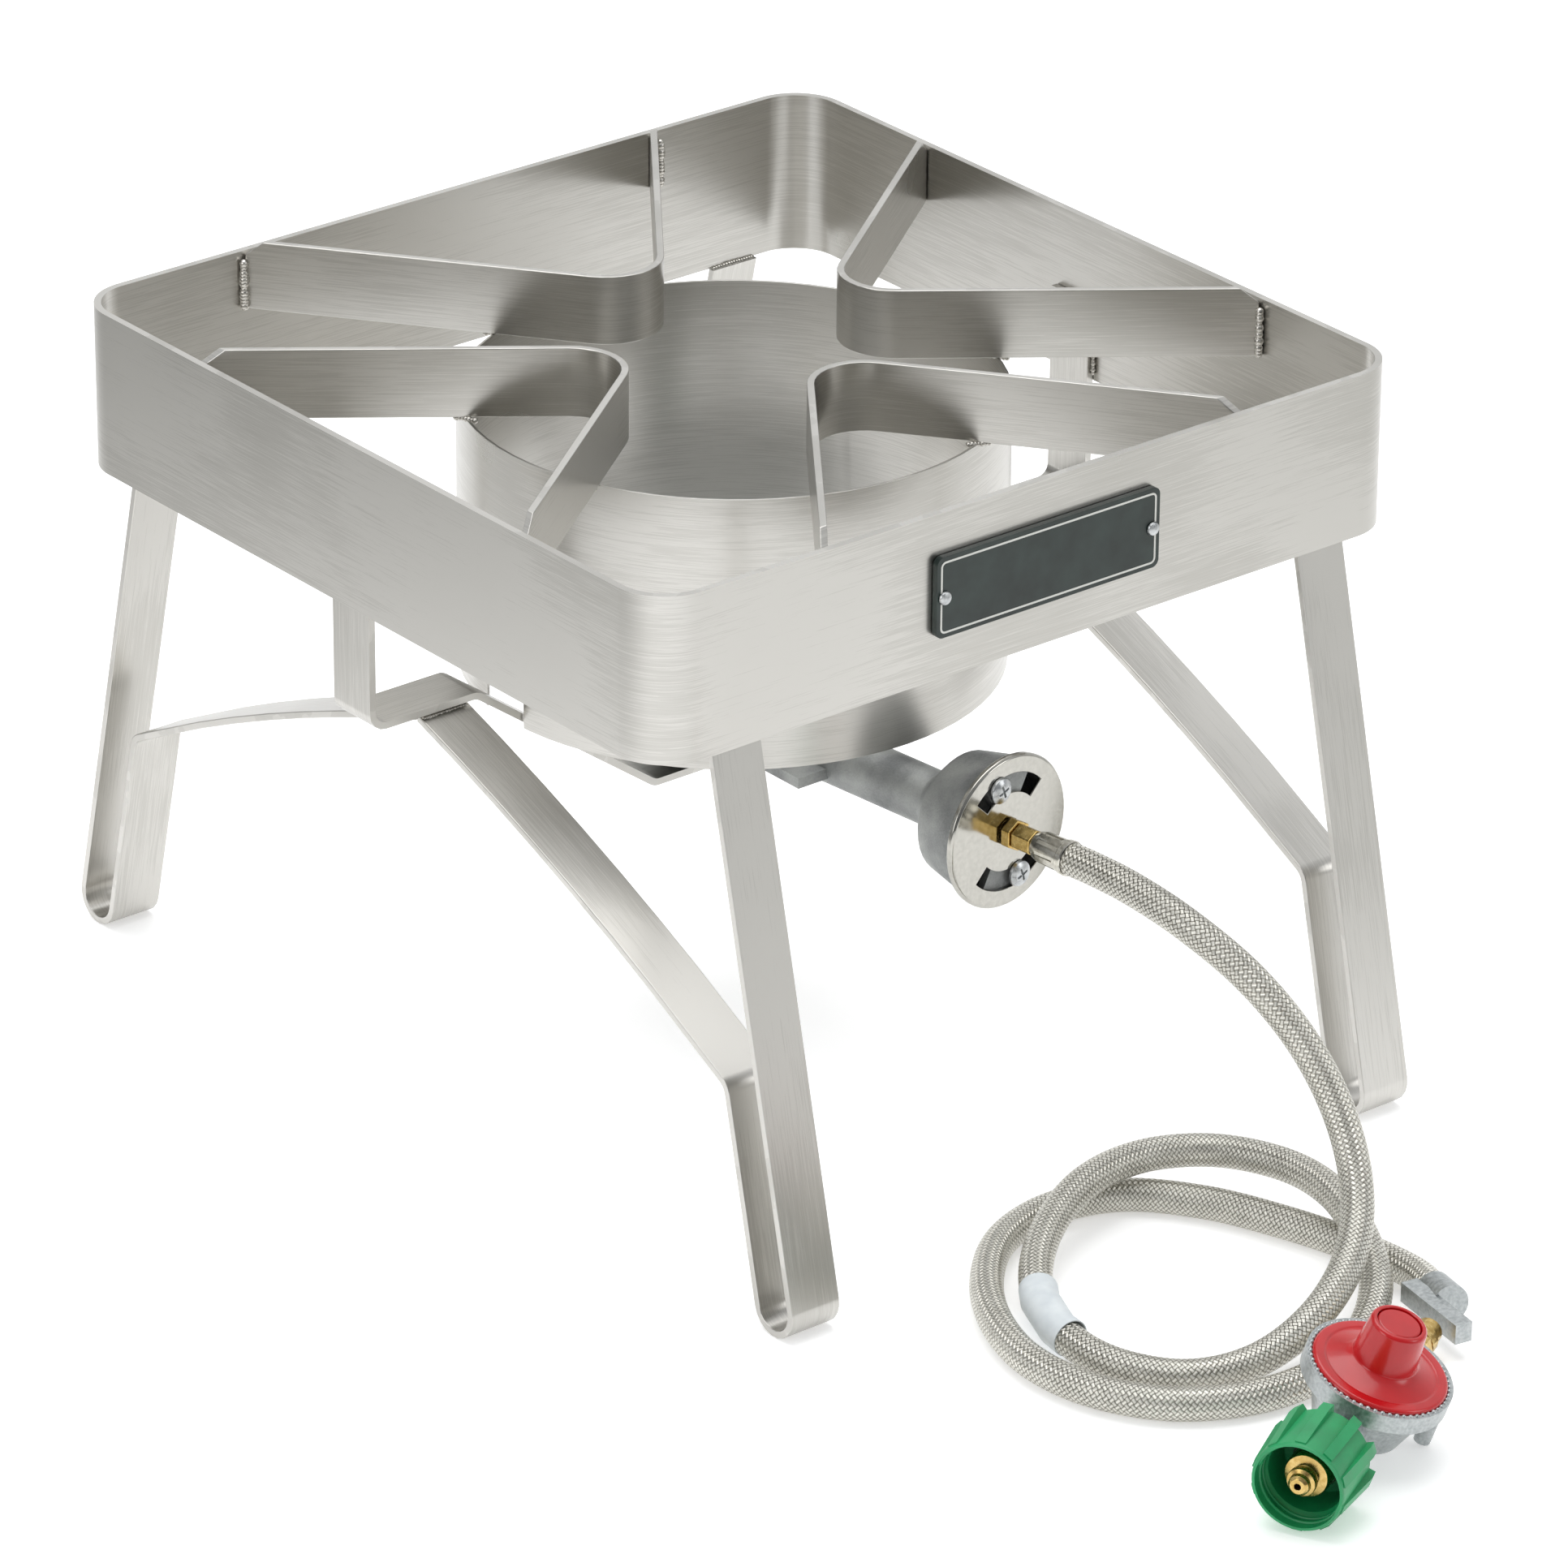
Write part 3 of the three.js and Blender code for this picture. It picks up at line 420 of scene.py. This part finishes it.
def lump_tree():
    """A node group that sets an uneven round lump on every point of the mesh it is given."""
    tree = bpy.data.node_groups.new("uneven_lumps", "GeometryNodeTree")
    sockets = {}
    for label, kind in (("Geometry", "Geometry"), ("Size", "Float"), ("Spread", "Float"), ("Seed", "Int"),
                        ("Material", "Material")):
        socket = tree.interface.new_socket(label, in_out="INPUT", socket_type=f"NodeSocket{kind}")
        sockets[label] = socket.identifier
    tree.interface.new_socket("Geometry", in_out="OUTPUT", socket_type="NodeSocketGeometry")
    given = add(tree, "NodeGroupInput")
    sizes = {0: given.outputs["Size"], 1: given.outputs["Spread"]}
    least = add(tree, "ShaderNodeMath", sizes, operation="SUBTRACT")
    most = add(tree, "ShaderNodeMath", sizes, operation="ADD")
    size = add(tree, "FunctionNodeRandomValue", {2: least.outputs[0], 3: most.outputs[0],
                                                 "Seed": given.outputs["Seed"]})
    ball = add(tree, "GeometryNodeMeshIcoSphere", {"Radius": 1.0, "Subdivisions": 2})
    lumps = add(tree, "GeometryNodeInstanceOnPoints",
                {"Points": given.outputs["Geometry"], "Instance": ball.outputs["Mesh"],
                 "Scale": size.outputs[1]})
    real = add(tree, "GeometryNodeRealizeInstances", {0: lumps.outputs[0]})
    coated = add(tree, "GeometryNodeSetMaterial",
                 {"Geometry": real.outputs[0], "Material": given.outputs["Material"]})
    out = add(tree, "NodeGroupOutput")
    tree.links.new(coated.outputs[0], out.inputs["Geometry"])
    return tree, sockets


LUMPS, LUMP_SOCKETS = lump_tree()


def lumps_at(name, points, size, spread, seed, material, body="stand"):
    """One plain mesh of lumps, of a given radius and unevenness, at the points."""
    mesh = bpy.data.meshes.new(name)
    mesh.from_pydata(points, [], [])
    piece = add_object(name, mesh, body, [material])
    grow = piece.modifiers.new("lumps", "NODES")
    grow.node_group = LUMPS
    for label, value in (("Size", size), ("Spread", spread), ("Seed", seed), ("Material", material)):
        grow[LUMP_SOCKETS[label]] = value
    apply_modifiers(piece)
    piece.data.polygons.foreach_set("use_smooth", [True] * len(piece.data.polygons))
    return piece


def bead(start, end, step=1.5 * MM):
    """Points in a row from start to end, for a weld bead."""
    start, end = Vector(start) * MM, Vector(end) * MM
    count = max(round((end - start).length / step), 1)
    return [start.lerp(end, k / count) for k in range(count + 1)]


weld_metal = bright_metal("stainless_weld_metal", "b0ada6", "dedbd4", 0.3, grain=1.1 * MM, bump=0.3)
TAB_END_X, TAB_END_Y = 115.6, 197.9                 # where a tab meets the band's inside
tab_welds = []
for turn in range(4):
    spin = Matrix.Rotation(math.radians(90 * turn), 4, "Z")
    for side in (-1, 1):
        row = bead((side * TAB_END_X, TAB_END_Y, 302), (side * TAB_END_X, TAB_END_Y, 322))
        tab_welds += [spin @ point for point in row]
lumps_at("tab_weld_beads", tab_welds, 1.9 * MM, 0.4 * MM, 3, weld_metal)

STRAP_FRONT, STRAP_BACK = -5.2, 20.2                # the strap's two edges
LEG_X, LEG_WELD = 159.2, 11                         # middle of a leg, and half a weld across it
frame_welds = []
for side in (-1, 1):
    for edge_y in (STRAP_FRONT - 1.0, STRAP_BACK + 1.0):
        frame_welds += bead((side * 198.9, edge_y, 256), (side * 198.9, edge_y, 286))
    near, far = side * LEG_X - LEG_WELD, side * LEG_X + LEG_WELD
    for end in (-1, 1):
        frame_welds += bead((near, end * 199.6, 251.6), (far, end * 199.6, 251.6))
        frame_welds += bead((near, end * 3.4, 193.4), (far, end * 3.4, 193.4))
lumps_at("frame_weld_beads", frame_welds, 1.3 * MM, 0.3 * MM, 5, weld_metal)

rim_welds = []
for turn in range(4):
    spin = Matrix.Rotation(math.radians(90 * turn), 4, "Z")
    for side in (-1, 1):
        row = bead((side * 40, 109, 299.6), (side * 48, 113, 299.6))
        rim_welds += [spin @ point for point in row]
lumps_at("windscreen_rim_welds", rim_welds, 1.2 * MM, 0.3 * MM, 7, weld_metal)

# ---------------------------------------------------------------- burner casting
# Grey iron cast in sand: dull, gritty and a little uneven, with a darker skin where it gets hot.
def sand_cast_iron():
    """Sand-cast grey iron, left as cast, so it is dull and grainy like the sand it was poured in."""
    grit = 0.9 * MM
    material, tree, shader = start_material("sand_cast_iron", Metallic=0.75)
    place = add(tree, "ShaderNodeTexCoord")
    grains = add(tree, "ShaderNodeTexNoise", {0: place.outputs["Object"], "Scale": 1 / grit, "Detail": 3.0})
    patches = add(tree, "ShaderNodeTexNoise", {0: place.outputs["Object"], "Scale": 45.0, "Detail": 4.0})
    tree.links.new(ramp(tree, patches.outputs[0], (0.3, "7c7e7e"), (0.55, "a3a5a3"), (0.8, "bcbdba")),
                   shader.inputs["Base Color"])
    rough = add(tree, "ShaderNodeMapRange", {0: grains.outputs[0], 1: 0.3, 2: 0.7, 3: 0.5, 4: 0.72})
    tree.links.new(rough.outputs[0], shader.inputs["Roughness"])
    bump = add(tree, "ShaderNodeBump", {"Strength": 0.55, "Distance": 0.3 * MM,
                                        "Height": grains.outputs[0]})
    tree.links.new(bump.outputs[0], shader.inputs["Normal"])
    return material


cast_iron = sand_cast_iron()
dressed("burner_casting", "burner_bowl_and_tube", cast_iron, bevel=0.8 * MM)
dressed("burner_cap", "burner_cap_plate", cast_iron, bevel=0.5 * MM)


bolt_steel = bright_metal("zinc_plated_bolt_steel", "8e8d88", "b5b3ab", 0.32)
for node in ("burner_bolt", "burner_washer", "burner_nut"):
    dressed(node, f"{node}_turned", bolt_steel, bevel=0.3 * MM)

# ---------------------------------------------------------------- air shutter
# A pressed steel cap, bright nickel plated, held to the casting by two pan-head screws that run in
# its slots. It turns on the tube's axis to let in more or less air.
nickel = bright_metal("bright_nickel_plate", "b0aea7", "bcbab3", 0.13, bump=0.0)
zinc = bright_metal("bright_zinc_plate", "a8abad", "cfd1d1", 0.3)
dressed("air_shutter", "air_shutter_cap", nickel, bevel=0.35 * MM)
for side in ("top", "bottom"):
    dressed(f"shutter_screw_{side}", f"pan_head_screw_{side}", zinc, bevel=0.2 * MM)

# ---------------------------------------------------------------- brass gas fittings
# Free-machining brass, turned and milled to hexagons, with the hose crimped in a plated sleeve.
brass = bright_metal("machined_brass", "b59552", "dcc07f", 0.24)
crimp = bright_metal("crimped_nickel_sleeve", "b4b1a6", "d9d6cc", 0.2)
dressed("orifice_spud", "orifice_spud_turned", brass, bevel=0.2 * MM)
swivel_nut = dressed("hose_swivel_nut", "swivel_hexagon", brass)
stem = dressed("hose_stem", "stem_hexagon", brass)
sleeve = dressed("hose_ferrule_burner", "crimped_sleeve", crimp, bevel=0.25 * MM)

# ---------------------------------------------------------------- hose label and elbow block
# A slip of coated paper round the hose, and a die-cast block that turns the gas into the regulator.
def coated_paper():
    """Blank coated paper: bright, cool white, with a slight crease and hardly any shine."""
    material, tree, shader = start_material("coated_paper", Roughness=0.6, IOR=1.45)
    place = add(tree, "ShaderNodeTexCoord")
    creases = add(tree, "ShaderNodeTexNoise", {0: place.outputs["Object"], "Scale": 120.0, "Detail": 2.0})
    tree.links.new(ramp(tree, creases.outputs[0], (0.3, "d6dde1"), (0.7, "e6ecee")),
                   shader.inputs["Base Color"])
    bump = add(tree, "ShaderNodeBump", {"Strength": 0.2, "Distance": 0.3 * MM,
                                        "Height": creases.outputs[0]})
    tree.links.new(bump.outputs[0], shader.inputs["Normal"])
    return material


cast_zinc = bright_metal("die_cast_zinc", "9ca1a2", "c2c6c6", 0.4, grain=1.6 * MM, bump=0.25)
label = dressed("hose_label", "paper_label", coated_paper(), bevel=0)
elbow = dressed("hose_elbow_block", "elbow_block", cast_zinc, bevel=0.8 * MM)
outlet = dressed("outlet_fitting", "outlet_fitting_turned", brass, bevel=0.3 * MM)

# ---------------------------------------------------------------- regulator
# A die-cast zinc body crimped over a red enamelled steel bonnet, with a rubber diaphragm and a
# spring inside.
def red_enamel():
    """Baked red enamel on pressed steel: even, deep colour under a smooth gloss."""
    material, tree, shader = start_material("baked_red_enamel", Roughness=0.24, IOR=1.5,
                                            Coat_Weight=0.25, Coat_Roughness=0.12)
    place = add(tree, "ShaderNodeTexCoord")
    wash = add(tree, "ShaderNodeTexNoise", {0: place.outputs["Object"], "Scale": 60.0, "Detail": 2.0})
    tree.links.new(ramp(tree, wash.outputs[0], (0.3, "b60c14"), (0.7, "c81119")),
                   shader.inputs["Base Color"])
    peel = add(tree, "ShaderNodeTexNoise", {0: place.outputs["Object"], "Scale": 420.0, "Detail": 1.0})
    bump = add(tree, "ShaderNodeBump", {"Strength": 0.1, "Distance": 0.2 * MM,
                                        "Height": peel.outputs[0]})
    tree.links.new(bump.outputs[0], shader.inputs["Normal"])
    return material


def rubber():
    """Nitrile rubber: near black with a green cast, dull and slightly dusty."""
    material, tree, shader = start_material("nitrile_rubber", IOR=1.52)
    place = add(tree, "ShaderNodeTexCoord")
    dust = add(tree, "ShaderNodeTexNoise", {0: place.outputs["Object"], "Scale": 300.0, "Detail": 3.0})
    tree.links.new(ramp(tree, dust.outputs[0], (0.35, "1b3a1c"), (0.75, "33582c")),
                   shader.inputs["Base Color"])
    rough = add(tree, "ShaderNodeMapRange", {0: dust.outputs[0], 1: 0.3, 2: 0.7, 3: 0.42, 4: 0.6})
    tree.links.new(rough.outputs[0], shader.inputs["Roughness"])
    return material


enamel, nitrile = red_enamel(), rubber()
body = dressed("regulator_body", "regulator_die_casting", cast_zinc, bevel=0.8 * MM)
bonnet = dressed("regulator_bonnet", "regulator_bonnet_pressing", enamel, bevel=0.8 * MM, segments=3)
plug = dressed("regulator_plug", "regulator_screw_plug", enamel, bevel=0.4 * MM)
membrane = dressed("regulator_diaphragm", "diaphragm_disc", nitrile, bevel=0.2 * MM)
plate = dressed("diaphragm_plate", "diaphragm_plate_turned", zinc, bevel=0.2 * MM)
spring = dressed("regulator_spring", "regulator_spring_wire", bolt_steel, bevel=0)

REGULATOR_AT = Vector((-41, -462.8, 22.5)) * MM
REGULATOR_HEADING, REGULATOR_ROLL = math.radians(27), math.radians(18.6)
REGULATOR_LIE = Matrix.Rotation(REGULATOR_HEADING, 4, "Z") @ Matrix.Rotation(REGULATOR_ROLL, 4, "X")


def on_regulator(x, y, z):
    """A point of the regulator's own frame, in millimetres, as it lies on the floor."""
    return REGULATOR_AT + REGULATOR_LIE @ Vector((x, y, z)) * MM


# the bonnet's rim is crimped with a ring of short teeth
CRIMPS, CRIMP_RADIUS, CRIMP_HEIGHT = 60, 29.6, 16.0
crimp_ring = [on_regulator(CRIMP_RADIUS * math.cos(a), CRIMP_RADIUS * math.sin(a), CRIMP_HEIGHT)
              for a in (2 * math.pi * k / CRIMPS for k in range(CRIMPS))]
crimps = lumps_at("regulator_crimp_teeth", crimp_ring, 1.15 * MM, 0.1 * MM, 11, cast_zinc)

# ---------------------------------------------------------------- cylinder coupling
# A moulded hand nut that screws over the cylinder's valve, round a brass nipple in a bushing.
def moulded_green():
    """Glass-filled nylon moulded green: satin, with a fine sandy skin."""
    material, tree, shader = start_material("moulded_green_nylon", IOR=1.53)
    place = add(tree, "ShaderNodeTexCoord")
    flow = add(tree, "ShaderNodeTexNoise", {0: place.outputs["Object"], "Scale": 55.0, "Detail": 3.0})
    tree.links.new(ramp(tree, flow.outputs[0], (0.3, "128a52"), (0.7, "1c9f60")),
                   shader.inputs["Base Color"])
    rough = add(tree, "ShaderNodeMapRange", {0: flow.outputs[0], 1: 0.3, 2: 0.7, 3: 0.36, 4: 0.5})
    tree.links.new(rough.outputs[0], shader.inputs["Roughness"])
    skin = add(tree, "ShaderNodeTexNoise", {0: place.outputs["Object"], "Scale": 1600.0, "Detail": 2.0})
    bump = add(tree, "ShaderNodeBump", {"Strength": 0.15, "Distance": 0.15 * MM,
                                        "Height": skin.outputs[0]})
    tree.links.new(bump.outputs[0], shader.inputs["Normal"])
    return material


green = moulded_green()
THREAD_TURNS, THREAD_STEPS = 4, 160
THREAD_START, THREAD_RUN, THREAD_RADIUS = -76, 14, 18.1
thread_line = []
for k in range(THREAD_STEPS + 1):
    share = k / THREAD_STEPS
    a = 2 * math.pi * THREAD_TURNS * share
    thread_line.append(on_regulator(THREAD_START + THREAD_RUN * share, THREAD_RADIUS * math.cos(a),
                                    THREAD_RADIUS * math.sin(a)))
thread_tube = swept_tube("hand_nut_thread", thread_line, 0.9 * MM, 6)
thread = add_object("hand_nut_thread", thread_tube, "coupling_nut", [green])
hand_nut = dressed("coupling_nut", "hand_nut_moulding", green, bevel=0.9 * MM, segments=3)
bushing = dressed("inlet_bushing", "inlet_bushing_ring", nitrile, bevel=0.5 * MM)
nipple = dressed("inlet_nipple", "inlet_nipple_turned", brass, bevel=0.25 * MM)

# ---------------------------------------------------------------- nameplate
# An enamelled plate held by two blind rivets. It carries no lettering.
def dark_enamel():
    """Printed dark green enamel on aluminium: nearly black, even, with a low gloss."""
    material, tree, shader = start_material("dark_green_enamel", Roughness=0.35, IOR=1.5)
    place = add(tree, "ShaderNodeTexCoord")
    wash = add(tree, "ShaderNodeTexNoise", {0: place.outputs["Object"], "Scale": 90.0, "Detail": 2.0})
    tree.links.new(ramp(tree, wash.outputs[0], (0.3, "1d2724"), (0.7, "2a3733")),
                   shader.inputs["Base Color"])
    return material


def pale_enamel():
    """The same print in off-white, for the border line: even and a little glossy."""
    material, tree, shader = start_material("pale_printed_line", Roughness=0.4, IOR=1.5)
    shader.inputs["Base Color"].default_value = linear("dcdcd6")
    return material


def border_line(centre_x, centre_z, face_y, width, height, corner, line):
    """A flat raised line with round corners, one line width broad, just proud of the plate."""
    form = bmesh.new()
    loops = []
    for inset, lift in ((0, 0), (0, 0.12 * MM), (line, 0.12 * MM), (line, 0)):
        loop = []
        for sx, sz, start in ((1, 1, 0), (-1, 1, 90), (-1, -1, 180), (1, -1, 270)):
            for k in range(7):
                a = math.radians(start + 15 * k)
                reach = corner - inset
                loop.append(form.verts.new((centre_x + sx * (width / 2 - corner) + reach * math.cos(a),
                                            face_y - lift,
                                            centre_z + sz * (height / 2 - corner) + reach * math.sin(a))))
        loops.append(loop)
    count = len(loops[0])
    for ring, onward in zip(loops, loops[1:] + loops[:1]):
        for k in range(count):
            form.faces.new((ring[k], ring[(k + 1) % count], onward[(k + 1) % count], onward[k]))
    bmesh.ops.recalc_face_normals(form, faces=form.faces)
    mesh = bpy.data.meshes.new("nameplate_border")
    form.to_mesh(mesh)
    form.free()
    return mesh


dressed("nameplate", "nameplate_plate", dark_enamel(), bevel=0.4 * MM)
PLATE_X, PLATE_Z, PLATE_FACE_Y = 2 * MM, 290.2 * MM, -206.5 * MM
BORDER_WIDTH, BORDER_HEIGHT, BORDER_CORNER, BORDER_LINE = 117 * MM, 32.5 * MM, 2.6 * MM, 0.9 * MM
border_mesh = border_line(PLATE_X, PLATE_Z, PLATE_FACE_Y, BORDER_WIDTH, BORDER_HEIGHT, BORDER_CORNER,
                          BORDER_LINE)
border = add_object("nameplate_border", border_mesh, "stand", [pale_enamel()])
for side in ("left", "right"):
    dressed(f"nameplate_rivet_{side}", f"blind_rivet_{side}", zinc, bevel=0.2 * MM)
